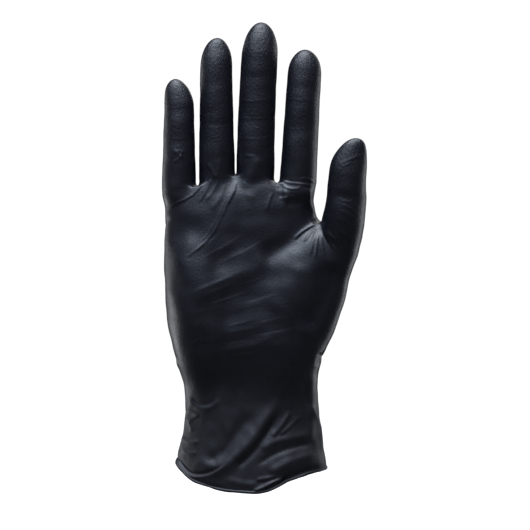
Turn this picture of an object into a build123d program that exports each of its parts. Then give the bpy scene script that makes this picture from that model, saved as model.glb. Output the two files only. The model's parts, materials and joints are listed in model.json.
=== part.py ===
from build123d import *
import math
import os

# A size M disposable nitrile glove for the right hand, in the shape that it has when it is worn.
# Millimetres and degrees. +Z runs along the fingers, -Y out of the palm, +X towards the thumb.
# The origin is the centre of the cuff opening.
#
# A dipped glove is one film with a rolled rim. The film is divided here where it works in a
# different way: rigid stalls over the bones, folds over the joints, the palm, the cuff and the bead.
# A fold is bow-tie shaped. It is narrow at its hinge line and widens towards the side that closes.

# ---- driving dimensions
FILM = 0.2                  # wall of the dipped film
BEAD_DIAMETER = 1.4         # rolled rim
RIM_DROP = 10.0             # the rim is this much lower in front of the palm, and higher behind
CUFF_WIDTH = 76.6
CUFF_DEPTH = 40.0
CUFF_STRAIGHT_TOP = 10.0    # the cuff is a straight tube from the rim to this height
HINGE_GAP = 0.7             # half height of a fold at its hinge line
FOLD_SPARE = 3.0            # a fold's half angle is half its travel plus this

WRIST_HEIGHT = 35.0
WRIST_FLEX = 60.0           # towards the palm
WRIST_EXTEND = 45.0         # towards the back of the hand

# Film over the hand, from the cuff up to the webs between the fingers:
# height, centre in X, width, depth.
HAND_SECTIONS = [
    (10.0, 0.0, 76.6, 40.0),
    (22.0, 0.0, 70.6, 42.0),
    (35.0, -0.3, 68.4, 43.0),
    (46.0, -0.8, 69.6, 41.0),
    (58.0, -2.2, 73.0, 37.0),
    (72.0, -3.6, 77.4, 33.5),
    (90.0, -4.6, 80.4, 31.0),
    (110.0, -5.1, 81.0, 28.0),
    (124.0, -5.9, 78.2, 25.5),
    (136.0, -6.0, 77.2, 22.5),
    (143.0, -6.2, 76.0, 18.5),
    (147.0, -6.3, 74.0, 12.5),
]

# The pad of muscle below the thumb: an ellipsoid, turned about Y towards the thumb.
THENAR_CENTRE = (31.0, -5.0, 88.0)
THENAR_HALF_SIZES = (15.5, 12.5, 46.0)
THENAR_LEAN = 20.0

# Each digit is a tapered tube of elliptical section with a domed end, in its own frame: the origin
# is on its root hinge, +Z runs to its tip, and +X is the direction of all its hinges.
# root: the root hinge. tip: the end of the digit. base_width, dome_width: width at the root and
# where the dome starts. depth_share: depth over width. dome: height of the domed end.
# stub: length and end width of the part that sinks into the palm.
# hinges: distances of the hinges from the root hinge.
# flex, extend: travel of each hinge towards the pad and away from it.
DIGITS = {
    "little": dict(root=(-37.5, 0.0, 153.5), tip=(-37.5, 0.0, 201.0), base_width=16.0,
                   dome_width=13.4, depth_share=0.88, dome=10.0, stub=(30.0, 16.4),
                   hinges=(0.0, 15.5, 30.5), flex=(65.0, 80.0, 49.0), extend=(0.0, 0.0, 0.0)),
    "ring": dict(root=(-18.3, 0.0, 159.0), tip=(-18.6, 0.0, 222.0), base_width=17.6,
                 dome_width=15.6, depth_share=0.88, dome=11.0, stub=(33.0, 18.0),
                 hinges=(0.0, 18.5, 38.5), flex=(65.0, 80.0, 49.0), extend=(0.0, 0.0, 0.0)),
    "middle": dict(root=(1.8, 0.0, 159.5), tip=(3.4, 0.0, 230.0), base_width=18.2,
                   dome_width=16.6, depth_share=0.88, dome=11.0, stub=(33.0, 18.4),
                   hinges=(0.0, 20.0, 42.0), flex=(65.0, 80.0, 49.0), extend=(0.0, 0.0, 0.0)),
    "index": dict(root=(23.7, 0.0, 157.0), tip=(27.4, 0.0, 216.0), base_width=18.0,
                  dome_width=15.4, depth_share=0.88, dome=11.0, stub=(32.0, 18.0),
                  hinges=(0.0, 18.5, 39.0), flex=(65.0, 80.0, 49.0), extend=(0.0, 0.0, 0.0)),
    "thumb": dict(root=(46.0, -6.9, 129.0), tip=(52.2, -14.0, 170.0), base_width=22.6,
                  dome_width=19.6, depth_share=0.94, dome=16.0, stub=(39.0, 8.0),
                  hinges=(0.0, 13.0), flex=(30.0, 60.0), extend=(10.0, 0.0)),
}

STALL_NAMES = {3: ("proximal_stall", "middle_stall", "tip_stall"), 2: ("proximal_stall", "tip_stall")}
FOLD_NAMES = {3: ("root_fold", "middle_fold", "tip_fold"), 2: ("root_fold", "tip_fold")}

FAR = 60.0                  # reach of the cutting solids, past every wall
SIDE_SPARE = 0.5            # a digit's cutting solids are this much wider than the digit, each side


def hand_solid(inset):
    """Cuff tube, hand and thenar pad as one solid, drawn in by inset."""
    tube = extrude(
        Pos(0, 0, -RIM_DROP - 6) * Ellipse(CUFF_WIDTH / 2 - inset, CUFF_DEPTH / 2 - inset),
        CUFF_STRAIGHT_TOP + RIM_DROP + 6,
    )
    top = HAND_SECTIONS[-1][0]
    sections = []
    for height, centre, width, depth in HAND_SECTIONS:
        level = height - inset if height == top else height
        sections.append(Pos(centre, 0, level) * Ellipse(width / 2 - inset, depth / 2 - inset))
    half = [size - inset for size in THENAR_HALF_SIZES]
    thenar = Pos(*THENAR_CENTRE) * Rot(0, THENAR_LEAN, 0) * scale(Sphere(1), by=tuple(half))
    return tube + loft(sections) + thenar


def digit_place(digit):
    """Location of a digit's own frame."""
    along = (Vector(*digit["tip"]) - Vector(*digit["root"])).normalized()
    across = Vector(0, 1, 0).cross(along).normalized()
    return Plane(origin=digit["root"], x_dir=across, z_dir=along).location


def digit_length(digit):
    return (Vector(*digit["tip"]) - Vector(*digit["root"])).length


def digit_solid(digit, inset):
    """One digit in its own frame: half an outline, revolved and flattened to its depth."""
    length = digit_length(digit)
    stub_length, stub_width = digit["stub"]
    base = digit["base_width"] / 2 - inset
    shoulder = digit["dome_width"] / 2 - inset
    stub = stub_width / 2 - inset
    dome_start = length - digit["dome"]
    dome_height = digit["dome"] - inset
    dome = EllipticalCenterArc((0, dome_start), shoulder, dome_height, arc_size=90)
    outline = Polyline(
        (0, length - inset), (0, -stub_length), (stub, -stub_length), (base, 0), (shoulder, dome_start)
    )
    half = make_face(Plane.XZ * (outline + dome))
    return scale(revolve(half, Axis.Z), by=(1, digit["depth_share"], 1))


def fold_cutter(half_width, flex, extend):
    """Bow-tie prism about the X axis, as tall as a fold that travels flex forwards and extend back."""
    front = HINGE_GAP + FAR * math.tan(math.radians(flex / 2 + FOLD_SPARE))
    back = HINGE_GAP + FAR * math.tan(math.radians(extend / 2 + FOLD_SPARE if extend else 0))
    side = Polyline(
        (0, HINGE_GAP), (-FAR, front), (-FAR, -front), (0, -HINGE_GAP), (FAR, -back), (FAR, back),
        close=True,
    )
    return extrude(make_face(Plane.YZ * side), half_width, both=True)


def slab(half_width, low, high):
    """Box about the Z axis between two heights."""
    return Pos(0, 0, (low + high) / 2) * Box(2 * half_width, 2 * FAR, high - low)


def rim_plane(lift):
    """Plane of the rim, raised by lift along its own normal."""
    normal = Vector(0, -RIM_DROP, CUFF_DEPTH / 2).normalized()
    return Plane(origin=normal * lift, x_dir=(1, 0, 0), z_dir=normal)


def largest(shape):
    """The largest solid of a cut, without crumbs."""
    return max(shape.solids(), key=lambda solid: solid.volume)


def digit_nodes(name, digit, whole_film, nodes):
    """Stalls and folds of one digit. Returns the space that they take out of the hand's film."""
    place = digit_place(digit)
    length = digit_length(digit)
    film = digit_solid(digit, 0) - digit_solid(digit, FILM)
    heights = digit["hinges"]
    half_width = digit["base_width"] / 2 + SIDE_SPARE
    cutters = [
        Pos(0, 0, height) * fold_cutter(half_width, flex, extend)
        for height, flex, extend in zip(heights, digit["flex"], digit["extend"])
    ]
    root_space = place * cutters[0]
    count = len(heights)
    ends = heights[1:] + (length + 1,)
    for order in range(count):
        stall = film & slab(half_width, heights[order], ends[order])
        for cutter in cutters:
            stall = stall - cutter
        nodes[f"{name}_{STALL_NAMES[count][order]}"] = place * largest(stall)
        if order == 0:
            fold = whole_film & root_space
        else:
            fold = place * (film & cutters[order])
        nodes[f"{name}_{FOLD_NAMES[count][order]}"] = largest(fold)
    return root_space + place * slab(half_width, 0, length + 1)


def build():
    nodes = {}
    outside = hand_solid(0)
    inside = hand_solid(FILM)
    for digit in DIGITS.values():
        place = digit_place(digit)
        outside = outside + place * digit_solid(digit, 0)
        inside = inside + place * digit_solid(digit, FILM)
    whole_film = outside - inside

    hand_film = whole_film
    for name, digit in DIGITS.items():
        hand_film = hand_film - digit_nodes(name, digit, whole_film, nodes)

    wrist = Pos(0, 0, WRIST_HEIGHT) * fold_cutter(FAR, WRIST_FLEX, WRIST_EXTEND)
    above = Pos(0, 0, WRIST_HEIGHT) * slab(2 * FAR, 0, 4 * FAR)
    below = Pos(0, 0, WRIST_HEIGHT) * slab(2 * FAR, -2 * FAR, 0)
    under_bead = rim_plane(BEAD_DIAMETER / 2) * slab(2 * FAR, -2 * FAR, 0)
    nodes["palm_shell"] = largest((hand_film & above) - wrist)
    nodes["wrist_fold"] = largest(hand_film & wrist)
    nodes["cuff_sleeve"] = largest((hand_film & below) - wrist - under_bead)

    rim = rim_plane(0)
    rim_half_depth = math.hypot(CUFF_DEPTH / 2, RIM_DROP)
    rim_line = rim * Ellipse(CUFF_WIDTH / 2 - FILM / 2, rim_half_depth - FILM / 2).edge()
    start = Plane(origin=rim_line @ 0, z_dir=rim_line % 0)
    nodes["cuff_bead"] = sweep(start * Circle(BEAD_DIAMETER / 2), path=rim_line)
    return nodes


os.makedirs("parts", exist_ok=True)
for node_name, shape in build().items():
    shape.label = node_name
    export_step(shape, f"parts/{node_name}.step")
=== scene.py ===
import json
import math

import bpy
import numpy as np
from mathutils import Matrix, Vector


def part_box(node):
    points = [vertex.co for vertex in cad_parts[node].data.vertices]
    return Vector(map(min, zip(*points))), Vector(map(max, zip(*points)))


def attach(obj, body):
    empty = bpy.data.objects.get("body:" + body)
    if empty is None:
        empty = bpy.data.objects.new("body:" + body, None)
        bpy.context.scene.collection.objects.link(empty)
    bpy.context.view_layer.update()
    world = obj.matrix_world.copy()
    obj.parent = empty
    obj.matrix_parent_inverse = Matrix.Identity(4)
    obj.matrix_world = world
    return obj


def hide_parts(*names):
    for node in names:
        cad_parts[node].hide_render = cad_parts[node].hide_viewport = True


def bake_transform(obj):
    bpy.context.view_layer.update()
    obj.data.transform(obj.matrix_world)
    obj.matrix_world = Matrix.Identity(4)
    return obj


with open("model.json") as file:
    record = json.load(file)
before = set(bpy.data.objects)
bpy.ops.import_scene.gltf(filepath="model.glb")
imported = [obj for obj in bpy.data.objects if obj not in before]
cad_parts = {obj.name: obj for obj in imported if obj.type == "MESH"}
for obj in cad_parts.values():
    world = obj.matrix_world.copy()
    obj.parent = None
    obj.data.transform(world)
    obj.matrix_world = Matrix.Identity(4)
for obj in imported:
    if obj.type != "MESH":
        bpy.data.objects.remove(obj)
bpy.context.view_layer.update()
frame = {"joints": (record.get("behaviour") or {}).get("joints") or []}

import openvdb as vdb

# A worn right-hand nitrile glove: one dipped film with a rolled rim.
# The film is the zero surface of a distance field, folded and wrinkled along its normals, and then
# divided where it bends. Lengths are millimetres until a mesh is made, then metres.
MM = 0.001
VOXEL = 0.53
FILM = 0.25                   # wall of the film
BEAD_RADIUS = 0.75            # rolled rim
GLOVE_BOX = ((-56.0, -36.0, -16.0), (68.0, 30.0, 236.0))    # holds the whole glove
FAR = 30.0                    # distance given to what is outside a field's box
TINY = 1e-6                   # keeps a division away from zero
CUFF_TOP = 56.0               # the cuff's piece of film ends here
SEED = 11
JOINTS = {joint["name"]: joint for joint in frame["joints"]}


# ---------------------------------------------------------------- small mathematics
def smooth_step(value, start, end):
    """0 before start, 1 after end, and an S-shaped rise between them."""
    t = np.clip((value - start) / (end - start), 0.0, 1.0)
    return t * t * (3 - 2 * t)


def bump(value, centre, spread):
    """A bell curve, 1 at its centre."""
    return np.exp(-(((value - centre) / spread) ** 2))


def soft_min(a, b, reach):
    """Smaller of two distances, with a fillet about reach wide where they meet."""
    mix = np.maximum(reach - np.abs(a - b), 0.0) / reach
    return np.minimum(a, b) - mix * mix * reach * 0.25


def smooth_profile(at, knots, values, spread=3.0):
    """Values between knots, rounded off over about spread on each side."""
    step, reach, margin = 0.5, 12, 20
    fine = np.arange(knots[0] - margin, knots[-1] + margin, step)
    line = np.interp(fine, knots, values)
    window = np.exp(-((np.arange(-reach, reach + step, step) / spread) ** 2))
    padded = np.pad(line, int(reach / step), mode="edge")
    return np.interp(at, fine, np.convolve(padded, window / window.sum(), mode="valid"))


def unit(vector):
    """The vector at length 1."""
    return vector / np.linalg.norm(vector)


# ---------------------------------------------------------------- digits
def pivot(joint_name):
    """Place of a joint."""
    return np.array(JOINTS[joint_name]["pos_m"]) / MM


class Digit:
    """One digit's own axes: u across it, v towards its back, s along it from its root joint."""

    def __init__(self, name, base, shoulder, dome, depth_share, stub, pad, slope, bow, bands):
        self.name = name
        self.root = pivot(f"{name}_root_flex")
        self.along = unit(pivot(f"{name}_tip_flex") - self.root)
        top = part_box(f"{name}_tip_stall")[1][2] / MM
        self.length = (top - self.root[2]) / self.along[2]
        self.across = unit(np.cross([0.0, 1.0, 0.0], self.along))
        self.back = np.cross(self.along, self.across)
        names = [f"{name}_middle_flex", f"{name}_tip_flex"]
        self.hinges = [float((pivot(n) - self.root) @ self.along) for n in names if n in JOINTS]
        self.base, self.shoulder, self.dome = base, shoulder, dome
        self.depth_share, self.stub, self.pad, self.slope = depth_share, stub, pad, slope
        self.bow, self.bands = bow, bands

    def local(self, x, y, z):
        """u, v and s of a point."""
        d = [x - self.root[0], y - self.root[1], z - self.root[2]]
        return [d[0] * a[0] + d[1] * a[1] + d[2] * a[2] for a in (self.across, self.back, self.along)]

    def point(self, s):
        """Point on the axis, in metres."""
        return tuple((self.root + s * self.along) * MM)


# base, shoulder: width at BASE_AT and where the dome starts. dome: its length.
# depth_share: depth over width. stub: length and end width of the part inside the palm.
# pad: height of the pads. slope: fall of the palmar side towards the tip.
# bow: how far the axis bows towards the thumb, (s, bow).
# bands: the stretch at each joint, (start, end); the digit's pieces are cut halfway between them.
DIGITS = [
    Digit("little", base=17.6, shoulder=15.2, dome=14.0, depth_share=0.88, stub=(30, 15.5),
          pad=0.15, slope=0.012,
          bow=((-5, 0.2), (20, 0.2), (36, 0.2), (47, -1.6)),
          bands=((-6.8, 6.1), (8.1, 23.2), (25.2, 36.5))),
    Digit("ring", base=18.5, shoulder=16.4, dome=15.0, depth_share=0.88, stub=(34, 17.4),
          pad=0.15, slope=0.012,
          bow=((-5, 0.4), (20, 0.3), (50, 0.2), (63, 0.9)),
          bands=((-7.0, 7.5), (9.5, 29.1), (31.1, 45.5))),
    Digit("middle", base=19.5, shoulder=18.6, dome=18.0, depth_share=0.88, stub=(34, 18.4),
          pad=0.15, slope=0.008,
          bow=((-5, 0.1), (15, 0.0), (40, 0.5), (58, 1.1), (70, 1.6)),
          bands=((-6.8, 8.2), (10.2, 31.8), (33.8, 49.0))),
    Digit("index", base=18.9, shoulder=17.2, dome=12.5, depth_share=0.88, stub=(33, 13.0),
          pad=0.15, slope=0.01,
          bow=((-5, 0.4), (30, 0.3), (59, 0.3)),
          bands=((-7.5, 7.5), (9.5, 29.4), (31.4, 46.0))),
    Digit("thumb", base=22.4, shoulder=19.2, dome=19.5, depth_share=0.92, stub=(40, 17.0),
          pad=0.3, slope=0.075,
          bow=((-5, 0.5), (10, 0.7), (18, -0.4), (28, -1.0), (36, -0.2), (42, 1.6)),
          bands=((-4.6, 4.2), (6.2, 22.0))),
]
THUMB = DIGITS[-1]
BASE_AT = -8.0                # s where a digit's base width is measured
SLOPE_BAND = (-12.0, 0.0)     # the palmar slope comes in over this stretch of s
SLOPE_PIVOT = 10.0            # s where the palmar slope takes nothing away
TIP_BAND = (26.0, 4.0)        # the palmar side flattens between these distances from the tip ...
TIP_FLATTENING = 1.4          # ... by this much
STUB_TAPER_FROM = 0.4         # share of the stub's length where it starts to narrow
STUB_WIDTH_LOSS = 0.85        # share of its width that a stub loses at its end
STUB_BACK_LOSS = 0.8          # share of its depth behind that it loses there
JOINT_RISE = 0.6              # the back of a digit stands this much higher over a joint
JOINT_SPREAD = 5.0
CREASE_SPREAD = 2.6
PAD_SPREAD = 6.0

# Sections of wrist, palm and back: height, left edge, right edge, reach in front, reach behind.
SECTIONS = [
    (-20.0, -38.2, 38.4, 19.6, 20.0),
    (3.0, -37.8, 38.4, 19.4, 20.0),
    (8.0, -36.8, 37.4, 18.8, 20.0),
    (16.0, -35.0, 36.2, 17.4, 20.4),
    (26.0, -34.0, 35.0, 15.8, 20.8),
    (37.0, -34.0, 33.8, 14.6, 20.6),
    (46.0, -35.0, 33.6, 14.6, 20.0),
    (56.0, -37.7, 33.0, 16.4, 18.8),
    (63.0, -39.6, 33.0, 17.4, 17.8),
    (72.0, -41.7, 33.0, 17.0, 16.8),
    (86.0, -43.7, 33.0, 15.8, 15.6),
    (108.0, -45.2, 33.0, 13.9, 14.2),
    (124.0, -44.6, 32.6, 12.5, 13.2),
    (136.0, -44.2, 32.0, 11.3, 12.0),
    (143.0, -43.8, 31.0, 9.5, 10.0),
    (147.5, -43.6, 31.6, 7.6, 8.0),
    (151.0, -43.0, 31.0, 5.0, 6.0),
]
WEBS = ((-46, 144.0), (-29.5, 145.4), (-8, 151.0), (13, 147.6), (34, 147.0))   # x, top of the hand
CROTCH = ((32, 125.5), (37, 127.0), (44, 142.0))    # x, top of the web between palm and thumb
WRIST_SQUARENESS = 2.0        # exponent of the section: 2 is an ellipse
PALM_SQUARENESS = 2.4
SQUARENESS_BAND = (30.0, 70.0)      # the exponent changes between these heights
KNUCKLES = ((-34.0, 131.0, 5.5), (-16.5, 136.0, 6.5), (2.5, 137.0, 7.0), (22.0, 134.0, 6.5))  # x, z, spread
KNUCKLE_RISE = 1.5
TENDON_RISE = 0.4
TENDON_SPREAD = 2.0
TENDON_MEETING = 260.0        # the tendons converge on a point this far below the knuckles
TENDON_START = (72.0, 100.0)  # they come in over these heights ...
TENDON_END = (112.0, 126.0)   # ... and fade over these

# The two pads of the palm, as ellipsoids: centre, half sizes, lean towards the thumb in degrees, the
# box that they are worked out in, and the reach of their fillet with the hand.
THENAR = ((24.2, -5.2, 83.0), (20.6, 12.6, 47.0), 21.0)
THENAR_BOX = ((-18, -30, 20), (68, 20, 150))
THENAR_REACH = 9.0
HYPOTHENAR = ((-27.0, -6.0, 82.0), (13.5, 11.5, 36.0), -4.0)
HYPOTHENAR_BOX = ((-56, -30, 30), (6, 20, 135))
HYPOTHENAR_REACH = 8.0
FINGER_BOX = (18, 16, 36, 240)      # half width, half depth, reach below the root joint, top
THUMB_BOX = ((14, -34, 84), (72, 20, 180))
FINGER_REACH = 0.5            # fillet between two fingers
HAND_REACH = 2.4              # fillet between fingers and hand
THUMB_REACH = (0.3, 7.0)      # fillet between thumb and hand, in the crotch and on the pad ...
THUMB_REACH_BAND = (99.0, 124.0)    # ... where it changes from one to the other

# The cuff is cut at z = 0. The cut then follows this line: angle round the cuff from the thumb's
# side over the back, and height.
RIM_LINE = ((-168, 3.6), (-155, 0.2), (-141, -3.8), (-113, -8.0), (-84, -9.2), (-75, -7.8), (-61, -3.2),
            (-38, 0.5), (0, 2.2), (50, 5.0), (90, 7.6), (135, 8.0), (180, 6.4))
RIM_FADE = 34.0               # height where the rim's line is no longer felt


def palm_distance(x, y, z):
    """Wrist, palm and back of the hand, with knuckles and tendons."""
    table = np.array(SECTIONS).T
    left, right, front, behind = (smooth_profile(z, table[0], row) for row in table[1:])
    centre, half = (left + right) / 2, (right - left) / 2
    relief = 0.0
    tendon = TENDON_RISE * smooth_step(z, *TENDON_START) * (1 - smooth_step(z, *TENDON_END))
    for place, height, size in KNUCKLES:
        relief = relief + KNUCKLE_RISE * bump(x, place, size) * bump(z, height, size)
        off_line = x - place * (1 - (height - z) / TENDON_MEETING)
        relief = relief + tendon * bump(off_line, 0, TENDON_SPREAD)
    reach = np.where(y < 0, front, behind + relief)
    p = WRIST_SQUARENESS + (PALM_SQUARENESS - WRIST_SQUARENESS) * smooth_step(z, *SQUARENESS_BAND)
    u = np.abs(x - centre) / half + TINY
    v = np.abs(y) / reach + TINY
    q = (u**p + v**p) ** (1 / p)
    slope = q ** (1 - p) * np.sqrt((u ** (p - 1) / half) ** 2 + (v ** (p - 1) / reach) ** 2)
    least_slope = 1e-4
    return np.maximum((q - 1) / np.maximum(slope, least_slope), z - np.interp(x, *np.array(WEBS).T))


def ellipsoid_distance(x, y, z, centre, half, lean):
    """An ellipsoid, its long axis leaning towards the thumb by lean degrees."""
    c, s = math.cos(math.radians(lean)), math.sin(math.radians(lean))
    dx, dy, dz = x - centre[0], y - centre[1], z - centre[2]
    u, v, w = dx * c - dz * s, dy, dx * s + dz * c
    q = np.sqrt((u / half[0]) ** 2 + (v / half[1]) ** 2 + (w / half[2]) ** 2) + TINY
    g = np.sqrt((u / half[0] ** 2) ** 2 + (v / half[1] ** 2) ** 2 + (w / half[2] ** 2) ** 2) + TINY
    return (q - 1) * q / g


def digit_distance(x, y, z, digit):
    """One digit, with pads in front, flatter creases between them and knuckles behind."""
    u, v, s = digit.local(x, y, z)
    stub, stub_width = digit.stub
    start = digit.length - digit.dome
    slope = digit.slope * smooth_step(s, *SLOPE_BAND) * (s - SLOPE_PIVOT)
    u = u - smooth_profile(s, *np.array(digit.bow).T)
    half = np.interp(s, [-stub, BASE_AT, start], [stub_width, digit.base, digit.shoulder]) / 2
    half = half * (1 - STUB_WIDTH_LOSS * smooth_step(-s, STUB_TAPER_FROM * stub, stub))
    tip_start, tip_end = (digit.length - distance for distance in TIP_BAND)
    front = half * digit.depth_share - slope - TIP_FLATTENING * smooth_step(s, tip_start, tip_end)
    back = half * digit.depth_share * (1 - STUB_BACK_LOSS * smooth_step(-s, 0.0, stub))
    for crease in digit.hinges:
        back = back + JOINT_RISE * bump(s, crease, JOINT_SPREAD)
        front = front - digit.pad * bump(s, crease, CREASE_SPREAD)
    for a, b in zip([0.0] + digit.hinges, digit.hinges + [tip_end]):
        front = front + digit.pad * bump(s, (a + b) / 2, PAD_SPREAD)
    over = np.maximum(s - start, 0.0)
    depth = np.where(v < 0, front, back)
    q = np.sqrt((u / half) ** 2 + (v / depth) ** 2 + (over / digit.dome) ** 2) + TINY
    g = np.sqrt((u / half**2) ** 2 + (v / depth**2) ** 2 + (over / digit.dome**2) ** 2) + TINY
    return np.maximum((q - 1) * q / g, -stub - s)


def on_box(axes, low, high, distance, *shape):
    """A distance worked out inside a box, and FAR outside it. The shape goes to it after x, y, z."""
    pick = tuple(slice(*np.searchsorted(axis, (a, b))) for axis, a, b in zip(axes, low, high))
    field = np.full([len(axis) for axis in axes], FAR, np.float32)
    x, y, z = (axis[part] for axis, part in zip(axes, pick))
    field[pick] = distance(x[:, None, None], y[None, :, None], z[None, None, :], *shape)
    return field


def hand_field(axes):
    """Palm with its two pads and four fingers."""
    hand = on_box(axes, *GLOVE_BOX, palm_distance)
    crotch = np.interp(axes[0], *np.array(CROTCH).T)[:, None, None]
    thenar = on_box(axes, *THENAR_BOX, ellipsoid_distance, *THENAR)
    hand = soft_min(hand, np.maximum(thenar, axes[2][None, None, :] - crotch), THENAR_REACH)
    hypothenar = on_box(axes, *HYPOTHENAR_BOX, ellipsoid_distance, *HYPOTHENAR)
    hand = soft_min(hand, hypothenar, HYPOTHENAR_REACH)
    width, depth, below, top = FINGER_BOX
    fingers = None
    for digit in DIGITS[:-1]:
        low = (digit.root[0] - width, -depth, digit.root[2] - below)
        one = on_box(axes, low, (digit.root[0] + width, depth, top), digit_distance, digit)
        fingers = one if fingers is None else soft_min(fingers, one, FINGER_REACH)
    return soft_min(hand, fingers, HAND_REACH)


def glove_field(axes):
    """Hand and thumb. Their fillet is tight in the crotch and wide on the pad."""
    hand = hand_field(axes)
    thumb = on_box(axes, *THUMB_BOX, digit_distance, THUMB)
    tight, wide = THUMB_REACH
    reach = wide - (wide - tight) * smooth_step(axes[2], *THUMB_REACH_BAND)
    return soft_min(hand, thumb, reach[None, None, :])


def extract(low, high):
    """Quads of the glove's outside, facing outwards."""
    axes = [np.arange(a, b, VOXEL, dtype=np.float32) for a, b in zip(low, high)]
    band = 4 * VOXEL
    field = np.clip(glove_field(axes), -band, band).astype(np.float32)
    grid = vdb.FloatGrid(band)
    grid.copyFromArray(field)
    points, quads = grid.convertToQuads(isovalue=0.0)
    points = points.astype(float) * VOXEL + np.array(low)
    quads = quads.astype(np.int64)
    middle = points[quads].mean(axis=1)
    if np.sum(middle * face_normals(points, quads)) < 0:
        quads = quads[:, ::-1]
    return points, quads


def face_normals(points, quads):
    """Normals of the quads, as long as twice their area."""
    a, b, c, d = (points[quads[:, i]] for i in range(4))
    return np.cross(c - a, d - b)


def vertex_normals(points, quads):
    """Unit normals of the points, weighted by area."""
    faces = face_normals(points, quads)
    total = np.empty_like(points)
    for axis in range(3):
        weights = np.repeat(faces[:, axis], 4)
        total[:, axis] = np.bincount(quads.ravel(), weights, minlength=len(points))
    return total / np.maximum(np.linalg.norm(total, axis=1, keepdims=True), 1e-9)


# ---------------------------------------------------------------- the rim's line
def cuff_angle(x, y):
    """Angle round the cuff, from the thumb's side over the back."""
    half_width, half_depth = 38.3, 20.0
    return np.degrees(np.arctan2(y / half_depth, x / half_width))


def rim_height(x, y):
    """Height of the rim's line, rounded off between its knots."""
    angles, heights = np.array(RIM_LINE, float).T
    step, reach, spread = 2.0, 16, 5.0
    fine = np.arange(-540, 541, step)
    line = np.interp((fine + 180) % 360 - 180, angles, heights, period=360)
    window = np.exp(-((np.arange(-reach, reach + 1, step) / spread) ** 2))
    line = np.convolve(line, window / window.sum(), mode="same")
    return np.interp(cuff_angle(x, y), fine, line)


def cut_at_rim(points, quads):
    """Opens the cuff at z = 0, then bends the cut to the rim's line. Returns the mesh and the rim."""
    quads = quads[(points[quads][:, :, 2] > 0).all(axis=1)]
    used, flat = np.unique(quads, return_inverse=True)
    points, quads = points[used], flat.reshape(-1, 4)
    rim = boundary_edges(quads)[:, 0]
    points[rim, 2] = 0.0
    fade = 1 - smooth_step(points[:, 2], 0.0, RIM_FADE)
    points[:, 2] += rim_height(points[:, 0], points[:, 1]) * fade
    order = np.argsort(cuff_angle(points[rim, 0], points[rim, 1]))
    return points, quads, rim[order]


def boundary_edges(quads):
    """Directed edges with a face on one side only."""
    ahead = np.roll(quads, -1, axis=1)
    size = int(quads.max()) + 1
    key, reverse = (quads * size + ahead).ravel(), (ahead * size + quads).ravel()
    lone = ~np.isin(key, reverse)
    return np.stack([quads.ravel()[lone], ahead.ravel()[lone]], axis=1)


# ---------------------------------------------------------------- folds and wrinkles
def curve(path, steps=8):
    """Points on a smooth curve through a path."""
    path = np.array(path, float)
    if len(path) == 2:
        return path
    ends = np.concatenate([[2 * path[0] - path[1]], path, [2 * path[-1] - path[-2]]])
    out = []
    for a, b, c, d in zip(ends, ends[1:], ends[2:], ends[3:]):
        for t in np.arange(steps) / steps:
            out.append(0.5 * (2 * b + (c - a) * t + (2 * a - 5 * b + 4 * c - d) * t**2
                              + (3 * b - a - 3 * c + d) * t**3))
    return np.array(out + [path[-1]])


def along_curve(at, line):
    """Signed distance from a curve, and how far along it, 0 to 1, of each point nearest to it."""
    a, b = line[:-1], line[1:]
    step = b - a
    length = np.linalg.norm(step, axis=1)
    before = np.concatenate([[0.0], np.cumsum(length)])
    d = at[:, None, :] - a[None, :, :]
    t = np.clip((d * step).sum(axis=2) / length**2, 0, 1)
    gap = d - t[:, :, None] * step
    nearest = np.argmin((gap**2).sum(axis=2), axis=1)
    row = np.arange(len(at))
    side = np.sign(step[nearest, 0] * d[row, nearest, 1] - step[nearest, 1] * d[row, nearest, 0])
    distance = np.sqrt((gap[row, nearest] ** 2).sum(axis=1)) * side
    return distance, (before[nearest] + t[row, nearest] * length[nearest]) / before[-1]


def ridge(distance, width, lean):
    """Section of a fold. A lean makes it steep on one side, with a valley at its foot."""
    r = distance / width
    return bump(r, 0, 1) - lean * 0.9 * r * bump(r, 0, 1.5)


def lip(distance, width, lean):
    """Section of a layer that stands proud on the right of its curve and sinks back slowly."""
    edge = 0.3 * width
    sinking = np.exp(-np.maximum(-distance, 0.0) / (4 * width))
    valley = bump(distance, 0.7 * width, width)
    return smooth_step(-distance, -edge, edge) * sinking - lean * valley


FOLD_REACH = 4.5              # widths from its path where a fold is no longer felt
# The two coordinates that a path is drawn in, and the axis and sign of the side that it is seen from.
VIEWS = {"front": ((0, 2), 1, -1), "back": ((0, 2), 1, 1), "left": ((1, 2), 0, -1), "right": ((1, 2), 0, 1)}


class Relief:
    """Heights that are added along the normals of a surface."""

    def __init__(self, points, normals):
        self.points, self.normals = points, normals
        self.height = np.zeros(len(points))

    def add(self, path, height, width, lean=0.0, ends=(0.2, 0.2), view="front", section=ridge):
        """A fold along a path drawn on one side: x and z in front and behind, y and z at the sides."""
        plane, axis, sign = VIEWS[view]
        line = curve(path)
        at = self.points[:, plane]
        reach = FOLD_REACH * width
        near = (at > line.min(axis=0) - reach).all(axis=1) & (at < line.max(axis=0) + reach).all(axis=1)
        facing = smooth_step(sign * self.normals[:, axis], 0.0, 0.3)
        near = np.flatnonzero(near & (facing > 0))
        if len(near) == 0:
            return
        distance, share = along_curve(at[near], line)
        fade = facing[near]
        if ends[0]:
            fade = fade * smooth_step(share, 0.0, ends[0])
        if ends[1]:
            fade = fade * smooth_step(1 - share, 0.0, ends[1])
        self.height[near] += height * section(distance, width, lean) * fade

    def add_waves(self, seed, length, amount, weight, stretch):
        """Soft unevenness: waves of about one length that run in every direction."""
        rng = np.random.default_rng(seed)
        total = np.zeros(len(self.points))
        count, full_turn = 9, 6.28
        for _ in range(count):
            turn = unit(rng.normal(size=3)) * 2 * np.pi / (length * rng.uniform(0.7, 1.4))
            total += np.sin(self.points @ (turn * np.array(stretch)) + rng.uniform(0, full_turn))
        self.height += amount * weight * total / math.sqrt(count / 2)


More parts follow.
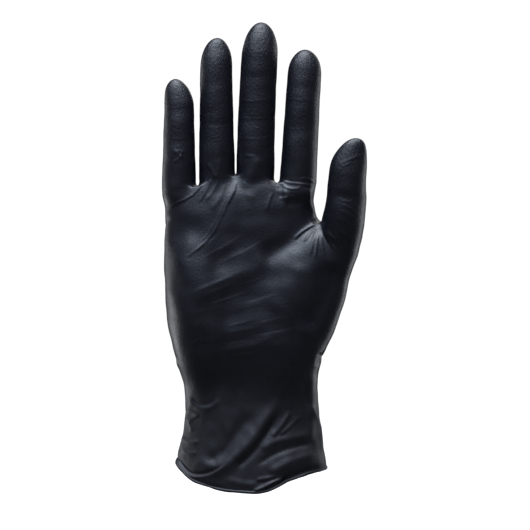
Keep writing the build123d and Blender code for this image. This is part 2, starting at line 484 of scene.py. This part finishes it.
# Folds of the palm, drawn from the front: path in x and z, height, width, lean.
PALM_FOLDS = [
    # the long double crease from between ring and middle finger to the edge of the hand
    (((-8.2, 150.3), (-8.4, 145.6), (-11.3, 139.0), (-15.1, 130.8), (-19.6, 122.0), (-26.6, 114.4),
      (-35.6, 108.0)), 0.26, 0.5, 0.2),
    (((-10.5, 144.0), (-17.0, 130.4), (-22.0, 121.6), (-28.4, 115.0)), 0.18, 0.45, 0.0),
    (((-8.2, 149.5), (-8.6, 144.1), (-10.8, 139.0), (-12.3, 135.4)), 0.22, 0.6, 0.4),
    # from between little and ring finger to the edge of the hand
    (((-21.5, 151.3), (-28.2, 143.1), (-32.8, 139.5), (-39.4, 136.4), (-43.5, 133.9)), 0.3, 0.5, 0.4),
    (((-22.5, 150.8), (-24.2, 146.0), (-25.1, 141.6)), 0.16, 0.6, 0.4),
    (((-20.0, 150.3), (-23.5, 143.0), (-27.1, 136.9)), 0.18, 0.7, 0.4),
    (((-16.9, 149.2), (-20.0, 143.0), (-24.1, 138.0)), 0.18, 0.7, -0.3),
    (((-13.0, 148.0), (-15.5, 141.0), (-20.5, 133.0)), 0.2, 1.2, 0.2),
    # taut film below the middle finger
    (((5.1, 161.0), (0.0, 152.0), (-6.1, 144.1)), 0.5, 3.2, 0.2),
    (((11.0, 148.0), (4.0, 143.5), (-3.6, 139.0)), 0.4, 3.4, 0.0),
    (((11.0, 143.0), (8.8, 137.5), (7.4, 132.0)), 0.2, 0.7, 0.5),
    # the crumpled web between middle and index finger
    (((10.8, 150.6), (13.0, 148.6), (15.6, 149.6)), 0.25, 0.6, 0.5),
    (((11.8, 147.2), (13.6, 147.9), (16.0, 146.4)), 0.2, 0.6, -0.5),
    (((12.4, 151.5), (13.0, 149.0), (12.6, 146.0)), -0.2, 0.6, 0.0),
    # the band round the base of the index finger
    (((14.3, 150.7), (16.2, 148.6), (19.5, 147.7), (24.6, 147.2), (32.5, 146.2)), 0.26, 0.5, 0.7),
    (((14.8, 147.2), (17.9, 144.6), (23.0, 144.4), (26.1, 146.7)), 0.2, 0.5, -0.5),
    (((24.0, 149.5), (28.5, 149.8), (32.6, 147.2)), 0.2, 0.5, 0.6),
    (((28.3, 146.0), (29.5, 139.0), (32.6, 131.0)), 0.3, 1.0, 0.8),
    (((17.0, 137.6), (21.0, 136.9), (25.5, 137.8)), -0.4, 2.0, 0.0),
    (((11.8, 144.0), (16.4, 142.6), (18.4, 140.5), (15.9, 138.5)), 0.22, 1.2, 0.4),
    (((13.0, 139.8), (18.0, 139.6), (22.0, 141.0)), 0.2, 0.8, 0.5),
    # the mound below the index finger and the hollow under it
    (((14.0, 142.0), (22.0, 142.5), (32.0, 141.0)), 1.5, 4.6, 0.0),
    (((38.0, 129.0), (33.0, 126.5), (24.0, 121.0), (15.0, 114.0), (4.0, 106.0)), -1.3, 5.0, 0.0),
    # broad diagonals where the film is drawn towards the thumb
    (((18.0, 112.0), (-4.0, 101.0), (-31.2, 88.0)), 0.7, 5.0, 0.2),
    (((4.0, 121.0), (-6.0, 115.0), (-22.0, 104.0)), -0.4, 4.0, 0.0),
    (((12.2, 77.0), (-8.0, 73.0), (-25.0, 71.0)), 0.45, 5.0, 0.1),
    (((12.2, 69.3), (-2.0, 65.0), (-16.3, 62.7)), 0.4, 2.4, -0.4),
    (((43.0, 108.0), (37.5, 90.0), (27.0, 71.0)), -2.3, 6.2, 0.0),
    (((25.0, 108.0), (19.0, 94.0), (12.0, 80.0)), 0.5, 7.0, 0.0),
    # creases that run out of the thumb's web
    (((33.8, 127.6), (29.6, 125.6), (25.6, 122.8), (21.0, 118.5)), 0.42, 0.55, 0.8),
    (((33.6, 126.0), (30.0, 122.4), (26.4, 117.0)), 0.34, 0.5, 0.8),
    (((33.4, 124.6), (31.2, 118.0), (29.7, 109.8)), 0.26, 0.5, 0.6),
    (((34.2, 124.0), (33.0, 116.0), (32.3, 108.0)), 0.24, 0.5, 0.6),
    (((35.0, 123.6), (35.4, 116.0), (37.0, 109.0)), 0.2, 0.5, -0.5),
    (((35.8, 123.8), (39.2, 117.6), (43.4, 111.6)), 0.26, 0.6, -0.6),
    (((37.4, 123.6), (42.0, 118.8), (47.8, 113.2)), 0.24, 0.55, 0.6),
    (((41.2, 120.8), (45.6, 117.6), (50.2, 115.4)), 0.2, 0.5, 0.5),
    (((43.0, 123.6), (47.0, 120.5), (51.4, 117.8)), 0.18, 0.5, -0.5),
    # edge of the hand and wrist
    (((35.8, 61.2), (34.4, 58.0), (33.6, 54.0)), -0.6, 1.2, 0.0),
    (((30.5, 16.0), (29.8, 34.0), (30.6, 52.0)), 0.7, 2.4, 0.5),
    (((-32.4, 40.0), (-29.6, 35.0), (-24.6, 33.2), (-19.5, 34.8), (-16.0, 39.0)), 0.4, 1.2, 0.8),
    (((-34.0, 31.6), (-30.5, 31.0), (-27.6, 29.2), (-30.5, 27.2), (-32.8, 22.6)), 0.35, 0.9, 0.6),
    (((-33.8, 28.0), (-31.6, 25.4), (-31.0, 20.2)), 0.3, 0.8, -0.6),
    (((-35.4, 18.0), (-31.8, 15.6), (-26.5, 16.6)), 0.4, 0.9, 0.5),
    (((-35.8, 12.0), (-32.0, 10.2), (-27.5, 11.0)), 0.4, 0.9, 0.5),
]

# Folds of the cuff, drawn from the front.
CUFF_FOLDS = [
    (((14.2, 38.4), (7.3, 27.4), (-1.7, 14.5), (-11.7, 5.6), (-21.6, -0.4)), 1.4, 3.4, 0.2),
    (((1.0, 33.0), (-6.0, 22.0), (-14.0, 12.0), (-24.0, 5.0)), -1.1, 3.2, 0.0),
    (((14.0, 32.0), (8.0, 21.5), (0.0, 11.0), (-9.0, 3.0)), -1.1, 1.9, 0.0),
    (((20.2, 32.4), (15.6, 24.8), (10.0, 18.5)), 0.45, 1.1, 0.5),
    (((25.6, 29.8), (20.4, 24.6), (13.8, 19.4)), 0.3, 0.8, 0.6),
    (((33.2, 19.9), (20.0, 17.6), (11.5, 15.6), (4.1, 11.6)), 0.6, 1.9, 0.5),
    (((34.0, 15.0), (24.0, 14.2), (12.0, 10.5), (2.0, 4.5)), -0.7, 1.6, 0.0),
    (((37.5, 10.0), (28.0, 8.6), (18.0, 5.4), (8.0, 0.0)), 1.0, 2.6, 0.0),
    (((39.0, 2.6), (28.0, 1.4), (21.0, -1.0), (14.4, -5.0)), -1.6, 2.2, 0.0),
    (((18.0, -1.4), (16.4, -2.8), (14.4, -5.4)), -1.0, 0.8, 0.0),
    (((17.0, -2.4), (12.0, -3.6), (6.0, -6.6), (0.0, -9.0)), 0.9, 0.8, 0.6),
    (((14.0, -0.6), (8.0, -2.0), (2.0, -3.0)), 0.5, 0.8, 0.5),
    (((-14.0, -2.0), (-4.0, -4.6), (4.0, -4.8)), 0.35, 1.6, 0.2),
    (((-28.0, 8.0), (-24.0, 4.6), (-18.0, 5.6)), 0.25, 1.8, 0.2),
]

# The fold that leaves the left end of the rim as a second, beaded lip and runs up to the wrist.
LIP_LINE = ((-37.6, 6.2), (-34.6, 1.6), (-29.6, -0.9), (-23.5, -0.6), (-17.5, 1.8), (-11.5, 5.8))

# Fine folds of the fingers, drawn from the front.
FINGER_FOLDS = [
    (((-8.5, 190.4), (0.0, 189.2), (12.0, 190.8)), 0.09, 0.5, 0.5),
    (((-8.6, 181.4), (2.0, 180.2), (11.6, 181.8)), 0.1, 0.5, 0.5),
    (((-8.8, 171.0), (1.0, 169.8), (11.4, 171.2)), 0.1, 0.5, 0.4),
    (((-4.4, 161.9), (-1.5, 161.2), (1.8, 161.0)), 0.14, 0.7, 0.3),
    (((16.5, 190.9), (25.0, 189.8), (34.5, 191.0)), 0.09, 0.5, 0.4),
    (((16.0, 176.0), (22.0, 175.0), (34.0, 176.4)), 0.09, 0.5, 0.4),
    (((-28.4, 177.0), (-19.0, 175.7), (-9.5, 177.2)), 0.07, 0.6, 0.3),
    (((-46.5, 171.0), (-38.0, 170.0), (-29.5, 171.4)), 0.07, 0.6, 0.3),
    (((-26.3, 153.0), (-26.6, 165.0), (-26.4, 178.0)), 0.35, 0.6, 0.5),
    (((-24.6, 153.0), (-25.0, 160.0), (-24.4, 168.0)), 0.12, 0.6, 0.4),
    (((-6.1, 153.0), (-6.4, 164.0), (-6.0, 176.0)), 0.35, 0.5, 0.5),
    (((-6.0, 181.0), (-5.9, 190.0), (-5.2, 200.0)), 0.3, 0.5, 0.5),
    (((10.2, 153.5), (10.4, 164.0), (10.7, 176.0)), 0.35, 0.5, -0.5),
    (((11.2, 180.0), (11.5, 190.0), (11.4, 202.0)), 0.3, 0.5, -0.5),
    (((-40.4, 162.5), (-37.0, 164.0), (-34.0, 162.6)), 0.12, 0.6, 0.4),
    (((-39.6, 165.4), (-37.4, 162.0), (-33.8, 159.8)), 0.2, 0.5, 0.4),
    (((-40.6, 158.4), (-37.0, 160.0), (-35.0, 164.4)), 0.18, 0.5, 0.4),
    (((-22.5, 158.0), (-20.0, 153.5), (-18.0, 149.5)), 0.22, 0.8, 0.3),
    (((-17.0, 160.0), (-16.6, 155.0), (-18.4, 150.0)), 0.12, 0.8, -0.3),
    # thumb
    (((59.4, 162.4), (52.0, 159.6), (43.0, 155.6)), 0.16, 0.6, 0.6),
    (((44.6, 155.2), (48.0, 156.6), (51.0, 158.0)), 0.16, 0.6, 0.3),
    (((43.6, 139.6), (47.6, 137.8), (51.6, 138.6)), 0.12, 0.6, 0.4),
    (((45.2, 136.8), (49.4, 134.7), (53.0, 132.6)), 0.16, 0.6, 0.5),
    (((44.0, 133.6), (48.6, 131.6), (53.2, 128.2)), 0.12, 0.6, 0.4),
    (((42.6, 129.6), (47.0, 127.4), (52.0, 124.2)), 0.12, 0.6, -0.4),
]

# Creases behind the hand: x and z, height, width, lean. They are guesses in the style of the palm's.
BACK_FOLDS = [
    (((-30.0, 52.0), (-10.0, 46.0), (12.0, 47.0), (30.0, 53.0)), 0.6, 1.8, 0.5),
    (((-32.0, 44.0), (-12.0, 39.0), (8.0, 41.0)), 0.5, 1.6, -0.4),
    (((-24.0, 60.0), (-4.0, 55.0), (20.0, 58.0)), 0.4, 2.0, 0.3),
    (((38.0, 104.0), (27.0, 94.0), (19.0, 76.0)), 0.3, 2.4, 0.2),
    (((33.0, 119.0), (24.0, 112.0), (12.0, 107.0)), 0.22, 1.4, 0.4),
    (((34.0, 112.0), (28.0, 100.0), (26.0, 86.0)), 0.2, 1.6, 0.3),
    (((-40.0, 112.0), (-28.0, 104.0), (-18.0, 90.0)), 0.3, 2.4, 0.2),
    (((-26.0, 146.0), (-24.0, 138.0), (-25.0, 128.0)), -0.45, 2.2, 0.0),
    (((-7.5, 148.0), (-7.0, 140.0), (-7.0, 130.0)), -0.45, 2.2, 0.0),
    (((12.5, 147.0), (12.0, 138.0), (12.0, 128.0)), -0.45, 2.2, 0.0),
    (((-14.0, 44.0), (-4.0, 24.0), (-7.0, 4.0)), 0.8, 3.0, 0.2),
    (((10.0, 46.0), (9.0, 24.0), (4.0, 5.0)), 0.6, 2.6, -0.3),
    (((20.0, 38.0), (27.0, 22.0), (24.0, 4.0)), 0.8, 2.4, 0.3),
    (((-20.0, 36.0), (-28.0, 22.0), (-25.0, 3.0)), 0.7, 2.8, -0.3),
    (((0.0, 26.0), (2.0, 16.0), (-1.0, 5.0)), -0.5, 2.4, 0.0),
    (((30.0, 32.0), (16.0, 24.0), (13.0, 6.0)), -0.5, 2.2, 0.0),
    (((-30.0, 30.0), (-17.0, 20.0), (-16.0, 6.0)), -0.5, 2.2, 0.0),
]

# Creases at the sides: side, path in y and z, height, width, lean.
SIDE_FOLDS = [
    ("left", ((-8.0, 40.0), (-2.0, 26.0), (-4.0, 8.0)), 0.4, 1.8, 0.4),
    ("left", ((6.0, 42.0), (8.0, 28.0), (5.0, 12.0)), 0.6, 1.6, -0.4),
    ("left", ((-6.0, 130.0), (0.0, 126.0), (6.0, 123.0)), -0.3, 1.4, 0.0),
    ("left", ((-8.0, 58.0), (2.0, 53.0), (10.0, 55.0)), 0.4, 1.4, 0.4),
    ("right", ((-8.0, 36.0), (-3.0, 22.0), (-5.0, 8.0)), 0.8, 1.6, 0.5),
    ("right", ((6.0, 38.0), (4.0, 24.0), (7.0, 8.0)), 0.7, 1.8, -0.4),
    ("right", ((-10.0, 62.0), (0.0, 57.0), (9.0, 58.0)), -0.7, 1.4, 0.0),
    ("right", ((-2.0, 120.0), (4.0, 108.0), (6.0, 92.0)), 0.6, 1.4, 0.5),
    ("right", ((2.0, 126.0), (7.0, 116.0), (9.0, 104.0)), 0.5, 1.2, 0.5),
]


# Soft unevenness: where, wavelength, height, how much shorter it is along x, y and z.
WAVES = [
    ("cuff", 17.0, 0.12, (1.6, 1.2, 0.6)),
    ("cuff", 7.0, 0.04, (1.4, 1.0, 0.8)),
    ("palm", 22.0, 0.12, (1.0, 1.0, 1.4)),
    ("all", 9.0, 0.05, (1.0, 1.0, 1.0)),
]


def knuckle_wrinkles(relief, digit):
    """Short cross wrinkles behind each joint of a digit."""
    x, y, z = relief.points.T
    u, v, s = digit.local(x, y, z)
    reach, first = 0.6 * digit.base, 4
    near = (np.abs(u) < reach) & (np.abs(v) < reach) & (s > first)
    behind = smooth_step(relief.normals @ digit.back, 0.1, 0.6) * near
    bend, spread = 0.06, 4.2
    for order, hinge in enumerate(digit.hinges):
        spacing, height = 2.9 - 0.5 * order, 0.24 - 0.07 * order
        wave = np.cos(2 * np.pi * (s - hinge + bend * u**2) / spacing)
        relief.height += height * wave * bump(s, hinge, spread) * behind


def streaks(relief):
    """Faint lines of taut film that fan out across the palm, towards the thumb."""
    rng = np.random.default_rng(SEED + 9)
    count, low, high = 26, 58, 116
    for _ in range(count):
        x, z, length = rng.uniform(-34, -2), rng.uniform(low, high), rng.uniform(16, 32)
        steepness = 0.1 + 0.5 * (z - low) / (high - low)
        rise = length * steepness * rng.uniform(0.85, 1.15)
        sag = rng.uniform(0.0, 0.8)
        path = ((x, z), (x + length / 2, z + rise / 2 - sag), (x + length, z + rise))
        height, width, lean = rng.uniform(0.05, 0.13), rng.uniform(0.5, 1.3), rng.uniform(0.0, 0.6)
        relief.add(path, height, width, lean, ends=(0.4, 0.4))


def fold_film(points, quads):
    """The mesh with all its folds, and its final normals."""
    relief = Relief(points, vertex_normals(points, quads))
    z = points[:, 2]
    for path, height, width, lean in PALM_FOLDS + FINGER_FOLDS:
        relief.add(path, height, width, lean)
    for path, height, width, lean in CUFF_FOLDS:
        relief.add(path, height, width, lean, ends=(0.25, 0.15))
    for path, height, width, lean in BACK_FOLDS:
        relief.add(path, height, width, lean, view="back", ends=(0.3, 0.1))
    for view, path, height, width, lean in SIDE_FOLDS:
        relief.add(path, height, width, lean, view=view)
    for digit in DIGITS:
        knuckle_wrinkles(relief, digit)
    streaks(relief)
    # the lip, and the bead along its edge
    relief.add(LIP_LINE, 1.2, 1.0, 0.6, ends=(0.0, 0.35), section=lip)
    relief.add(LIP_LINE, 0.45, 0.55, 0.0, ends=(0.0, 0.25))
    share = {
        "cuff": 1 - smooth_step(z, 30.0, 62.0),
        "palm": smooth_step(z, 40.0, 70.0) * (1 - smooth_step(z, 138.0, 152.0)),
        "all": 1.0,
    }
    for order, (where, length, height, stretch) in enumerate(WAVES):
        relief.add_waves(SEED + order, length, height, share[where], stretch)
    folded = points + relief.normals * relief.height[:, None]
    return folded, vertex_normals(folded, quads)


# ---------------------------------------------------------------- pieces
def new_object(name, points, faces, normals=None):
    """A smooth mesh object from millimetres, with its own normals where they are given."""
    mesh = bpy.data.meshes.new(name)
    mesh.from_pydata((points * MM).tolist(), [], faces.tolist())
    mesh.polygons.foreach_set("use_smooth", [True] * len(mesh.polygons))
    mesh.update()
    if normals is not None:
        mesh.normals_split_custom_set_from_vertices(normals.tolist())
    thing = bpy.data.objects.new(name, mesh)
    bpy.context.collection.objects.link(thing)
    return thing


def store(thing, name, values):
    """A number or a vector for every vertex, which the material reads."""
    kind = "FLOAT_VECTOR" if values.ndim == 2 else "FLOAT"
    attribute = thing.data.attributes.new(name, kind, "POINT")
    key = "vector" if values.ndim == 2 else "value"
    attribute.data.foreach_set(key, values.astype(np.float32).ravel())


def film_piece(name, surface, picked, nodes):
    """Closed piece of film: an outer and an inner skin, joined round their edges."""
    points, normals, grain = surface["points"], surface["normals"], surface["grain"]
    used, flat = np.unique(surface["quads"][picked], return_inverse=True)
    outer = flat.reshape(-1, 4)
    count = len(used)
    a, b = boundary_edges(outer).T
    walls = np.stack([b, a, a + count, b + count], axis=1)
    faces = np.concatenate([outer, outer[:, ::-1] + count, walls])
    skin, out = points[used], normals[used]
    thing = new_object(name, np.concatenate([skin, skin - FILM * out]), faces, np.concatenate([out, -out]))
    store(thing, "rest", np.concatenate([skin, skin]))
    store(thing, "grain", np.concatenate([grain[used], grain[used]]))
    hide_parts(*nodes)
    return thing


ROOT_SPARE = 0.6              # a digit's first piece starts this much below its first band
THUMB_SIDE = 36.0             # film on this side of x, nearer to the palm, is not the thumb's
HAND_GRAIN = 0.25             # the hand's share of the digits' grain
GRAIN_BAND = (-2.0, 8.0)      # the grain grows over this stretch of s


def digit_share(points):
    """For each point, the digit that it belongs to by distance, or -1 for the hand, and its s."""
    x, y, z = points.T
    distances = np.array([digit_distance(x, y, z, digit) for digit in DIGITS])
    stations = np.array([digit.local(x, y, z)[2] for digit in DIGITS])
    owner = np.argmin(distances, axis=0)
    row = np.arange(len(points))
    s = stations[owner, row]
    start = np.array([digit.bands[0][0] for digit in DIGITS])[owner] - ROOT_SPARE
    on_thumb = owner == len(DIGITS) - 1
    hand = palm_distance(x, y, z)
    lost = (s < start) | (on_thumb & (hand < distances[owner, row]) & (x < THUMB_SIDE))
    return np.where(lost, -1, owner), s


def grain_share(points):
    """Strength of the dipped grain, 0 to 1: weak on the hand and full on the digits."""
    owner, s = digit_share(points)
    return HAND_GRAIN + (1 - HAND_GRAIN) * smooth_step(s, *GRAIN_BAND) * (owner >= 0)


def parts_of(digit):
    """Word in the piece's name, the two bodies it joins, and the nodes it replaces."""
    if digit is THUMB:
        return (("root", "palm", "proximal", "proximal_stall"), ("tip", "proximal", "tip", "tip_stall"))
    return (("root", "palm", "proximal", "proximal_stall"),
            ("middle", "proximal", "middle", "middle_stall"),
            ("tip", "middle", "tip", "tip_stall"))


def make_pieces(surface):
    """Cuff, palm, back of the hand and the pieces of each digit, cut halfway between its joints' bands."""
    middle = surface["points"][surface["quads"]].mean(axis=1)
    owner, s = digit_share(middle)
    on_cuff = (owner < 0) & (middle[:, 2] < CUFF_TOP)
    on_hand = (owner < 0) & ~on_cuff
    cuff = film_piece("cuff_film", surface, on_cuff, ["cuff_sleeve", "wrist_fold"])
    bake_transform(cuff)
    pieces = [cuff]
    for name, side in (("palm_film", middle[:, 1] < 0), ("back_film", middle[:, 1] >= 0)):
        half = film_piece(name, surface, on_hand & side, ["palm_shell"])
        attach(half, "palm")
        pieces.append(half)
    for order, digit in enumerate(DIGITS):
        mine = owner == order
        between = [(a[1] + b[0]) / 2 for a, b in zip(digit.bands, digit.bands[1:])]
        cuts = [-math.inf] + between + [math.inf]
        rows = zip(parts_of(digit), digit.bands, cuts, cuts[1:])
        for (word, lower, upper, stall), (start, end), first, last in rows:
            nodes = [f"{digit.name}_{word}_fold", f"{digit.name}_{stall}"]
            picked = mine & (s > first) & (s <= last)
            piece = film_piece(f"{digit.name}_{word}_film", surface, picked, nodes)
            digit.point(start)
            digit.point(end)
            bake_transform(piece)
            pieces.append(piece)
    return pieces


BEAD_WAVES = ((5, 0.1, 1), (13, 0.08, 0), (31, 0.05, 2))    # waves round it, share of radius, phase


def make_bead(points, normals, rim):
    """The rolled rim: a tube along the edge of the cuff, a little uneven."""
    window, overlap, shortest_step, around = 5, 6, 0.15, 12
    line = points[rim] - 0.5 * FILM * normals[rim]
    line = np.concatenate([line[-overlap:], line, line[:overlap]])
    rounded = [np.convolve(column, np.ones(window) / window, mode="same") for column in line.T]
    line = np.stack(rounded, axis=1)[overlap:-overlap]
    keep = np.concatenate([[True], np.linalg.norm(np.diff(line, axis=0), axis=1) > shortest_step])
    line = line[keep]
    ahead = np.roll(line, -1, axis=0) - np.roll(line, 1, axis=0)
    ahead /= np.linalg.norm(ahead, axis=1, keepdims=True)
    side = np.cross(ahead, [0.0, 0.0, 1.0])
    side /= np.linalg.norm(side, axis=1, keepdims=True)
    up = np.cross(side, ahead)
    count = len(line)
    turn = np.arange(around) * 2 * np.pi / around
    t = np.arange(count) * 2 * np.pi / count
    radius = BEAD_RADIUS * (1 + sum(share * np.sin(waves * t + phase) for waves, share, phase in BEAD_WAVES))
    ring = side[:, None, :] * np.cos(turn)[None, :, None] + up[:, None, :] * np.sin(turn)[None, :, None]
    tube = (line[:, None, :] + radius[:, None, None] * ring).reshape(-1, 3)

    def corner(a, b):
        return (a % count) * around + b % around

    i, j = np.meshgrid(np.arange(count), np.arange(around), indexing="ij")
    corners = [corner(i, j), corner(i + 1, j), corner(i + 1, j + 1), corner(i, j + 1)]
    faces = np.stack(corners, axis=-1).reshape(-1, 4)
    outwards = tube[faces].mean(axis=1) - line[faces[:, 0] // around]
    if np.sum(outwards * face_normals(tube, faces)) < 0:
        faces = faces[:, ::-1]
    bead = new_object("rolled_bead", tube, faces)
    store(bead, "rest", tube)
    store(bead, "grain", np.zeros(len(tube)))
    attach(bead, "cuff")
    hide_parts("cuff_bead")
    return bead


# ---------------------------------------------------------------- material
IOR = 1.42
BLOTCH_SCALE = 0.09           # soft blotches in tone and gloss: cells per millimetre
BLOTCH_TONES = (0.8, 1.25)    # share of the colour, from the darkest to the lightest blotch
BLOTCH_ROUGHNESS = 0.07       # they change the roughness by this much, up and down
CUFF_ROUGHNESS = 0.14         # the slack cuff is this much rougher ...
CUFF_ROUGHNESS_BAND = (60.0, 20.0)  # ... which comes in between these heights, downwards
GRAIN_SCALE = 0.8             # fine dipped grain: cells per millimetre
GRAIN_STRENGTH = (0.2, 0.65)  # of the bump, without and with the full grain
GRAIN_HEIGHT = 0.0004         # metres


def nitrile(name, roughness, colour):
    """Black nitrile: a satin skin with a fine dipped grain, stronger on the digits."""
    material = bpy.data.materials.new(name)
    material.use_nodes = True
    nodes, links = material.node_tree.nodes, material.node_tree.links
    shader = nodes["Principled BSDF"]
    shader.inputs["IOR"].default_value = IOR

    def node(kind, **values):
        """A node. Each value is an input's, or else a setting of the node."""
        made = nodes.new(kind)
        for key, value in values.items():
            if key in made.inputs:
                made.inputs[key].default_value = value
            else:
                setattr(made, key, value)
        return made

    def ramp(source, low, high, start=0.0, end=1.0, kind="LINEAR"):
        """Goes from low to high while the source goes from start to end."""
        made = node("ShaderNodeMapRange", interpolation_type=kind)
        for key, value in (("From Min", start), ("From Max", end), ("To Min", low), ("To Max", high)):
            made.inputs[key].default_value = value
        links.new(source, made.inputs["Value"])
        return made.outputs["Result"]

    place = node("ShaderNodeAttribute", attribute_name="rest")
    grain = node("ShaderNodeAttribute", attribute_name="grain")
    blotch = node("ShaderNodeTexNoise", Scale=BLOTCH_SCALE, Detail=3.0)
    links.new(place.outputs["Vector"], blotch.inputs["Vector"])
    tone = node("ShaderNodeMix", data_type="RGBA")
    for key, share in zip("AB", BLOTCH_TONES):
        tone.inputs[key].default_value = (*[share * c for c in colour], 1)
    links.new(blotch.outputs["Fac"], tone.inputs["Factor"])
    links.new(tone.outputs["Result"], shader.inputs["Base Color"])

    blotchy = ramp(blotch.outputs["Fac"], roughness - BLOTCH_ROUGHNESS, roughness + BLOTCH_ROUGHNESS)
    height = node("ShaderNodeSeparateXYZ")
    links.new(place.outputs["Vector"], height.inputs["Vector"])
    slack = ramp(height.outputs["Z"], 0.0, CUFF_ROUGHNESS, *CUFF_ROUGHNESS_BAND, kind="SMOOTHSTEP")
    total = node("ShaderNodeMath", operation="ADD")
    links.new(blotchy, total.inputs[0])
    links.new(slack, total.inputs[1])
    links.new(total.outputs["Value"], shader.inputs["Roughness"])

    fine = node("ShaderNodeTexNoise", Scale=GRAIN_SCALE, Detail=4.0, Roughness=0.65)
    links.new(place.outputs["Vector"], fine.inputs["Vector"])
    bumps = node("ShaderNodeBump", Distance=GRAIN_HEIGHT)
    links.new(fine.outputs["Fac"], bumps.inputs["Height"])
    links.new(ramp(grain.outputs["Fac"], *GRAIN_STRENGTH), bumps.inputs["Strength"])
    links.new(bumps.outputs["Normal"], shader.inputs["Normal"])
    return material


# ---------------------------------------------------------------- stage, light and camera
# All in metres. Soft boxes: name, place, size, power in watts, tint.
LIGHTS = [
    ("left_box", (-1.0, 0.5, 0.05), (0.6, 1.2), 5.5, (0.94, 0.98, 1.06)),
    ("right_box", (1.0, 0.5, 0.05), (0.5, 1.2), 7.0, (0.94, 0.98, 1.06)),
    ("low_box", (-0.8, 0.2, -0.08), (0.4, 0.1), 1.4, (1.0, 1.0, 1.0)),
    ("top_box", (-0.1, -0.3, 1.35), (1.0, 0.7), 36.0, (0.9, 0.97, 1.08)),
    ("key_box", (-0.4, -0.85, 1.15), (1.1, 0.8), 9.6, (0.74, 0.9, 1.2)),
    ("rear_box", (0.4, 1.0, 0.9), (0.9, 0.8), 5.5, (1.0, 1.0, 1.0)),
]
LIGHT_AIM = (0.0, 0.0, 0.11)  # the middle of the glove
ROOM_BRIGHTNESS = 1.05
ROOM_IN_GLOSS = 0.05          # brightness of the room where the film reflects it
FLOOR_LEVEL = -0.15
FLOOR_REACH = 6.0
CAMERA_DISTANCE = 1.2
CAMERA_AIM = (0.0067, 0.1057)       # x and z
VIEW_WIDTH = 0.2714           # width of what the camera sees at the glove


def area_light(name, place, size, power, tint):
    """Soft box that faces the middle of the glove."""
    data = bpy.data.lights.new(name, "AREA")
    data.shape, data.size, data.size_y = "RECTANGLE", size[0], size[1]
    data.energy, data.color = power, tint
    thing = bpy.data.objects.new(name, data)
    bpy.context.collection.objects.link(thing)
    thing.location = place
    x, y, z = np.array(place) - np.array(LIGHT_AIM)
    thing.rotation_euler = (math.atan2(math.hypot(x, y), z), 0, math.atan2(x, -y))


def room():
    """White room, dimmer where it is reflected in the film."""
    world = bpy.data.worlds.new("studio")
    bpy.context.scene.world = world
    world.use_nodes = True
    nodes, links = world.node_tree.nodes, world.node_tree.links
    background = nodes["Background"]
    background.inputs["Color"].default_value = (1, 1, 1, 1)
    rays = nodes.new("ShaderNodeLightPath")
    dim = nodes.new("ShaderNodeMapRange")
    dim.inputs["To Min"].default_value = ROOM_BRIGHTNESS
    dim.inputs["To Max"].default_value = ROOM_IN_GLOSS
    links.new(rays.outputs["Is Glossy Ray"], dim.inputs["Value"])
    links.new(dim.outputs["Result"], background.inputs["Strength"])


def pale_floor():
    """A wide matt floor below the glove, which the film doesn't reflect."""
    mesh = bpy.data.meshes.new("floor")
    r, level = FLOOR_REACH, FLOOR_LEVEL
    corners = [(-r, -r, level), (r, -r, level), (r, r, level), (-r, r, level)]
    mesh.from_pydata(corners, [], [(0, 1, 2, 3)])
    floor = bpy.data.objects.new("floor", mesh)
    bpy.context.collection.objects.link(floor)
    material = bpy.data.materials.new("pale_floor")
    material.use_nodes = True
    shader = material.node_tree.nodes["Principled BSDF"]
    shader.inputs["Base Color"].default_value = (0.97, 0.97, 0.97, 1)
    shader.inputs["Roughness"].default_value = 1.0
    shader.inputs["Specular IOR Level"].default_value = 0.0
    floor.data.materials.append(material)
    floor.visible_glossy = False


def camera():
    """Level view of the palm."""
    data = bpy.data.cameras.new("camera")
    thing = bpy.data.objects.new("camera", data)
    bpy.context.collection.objects.link(thing)
    data.sensor_width = 36.0
    data.lens = data.sensor_width * CAMERA_DISTANCE / VIEW_WIDTH
    thing.location = (CAMERA_AIM[0], -CAMERA_DISTANCE, CAMERA_AIM[1])
    thing.rotation_euler = (math.radians(90), 0, 0)
    bpy.context.scene.camera = thing


# ---------------------------------------------------------------- make it
camera()
room()
pale_floor()
for row in LIGHTS:
    area_light(*row)
bpy.context.scene.view_settings.view_transform = "Standard"

raw_points, raw_quads = extract(*GLOVE_BOX)
cut_points, cut_quads, rim_loop = cut_at_rim(raw_points, raw_quads)
film_points, film_normals = fold_film(cut_points, cut_quads)
film = {
    "points": film_points,
    "normals": film_normals,
    "quads": cut_quads,
    "grain": grain_share(cut_points),
}
film_material = nitrile("nitrile_film_skin", roughness=0.42, colour=(0.0011, 0.0014, 0.0040))
bead_material = nitrile("nitrile_bead_skin", roughness=0.40, colour=(0.0014, 0.0017, 0.0042))
for piece in make_pieces(film):
    piece.data.materials.append(film_material)
make_bead(film_points, film_normals, rim_loop).data.materials.append(bead_material)
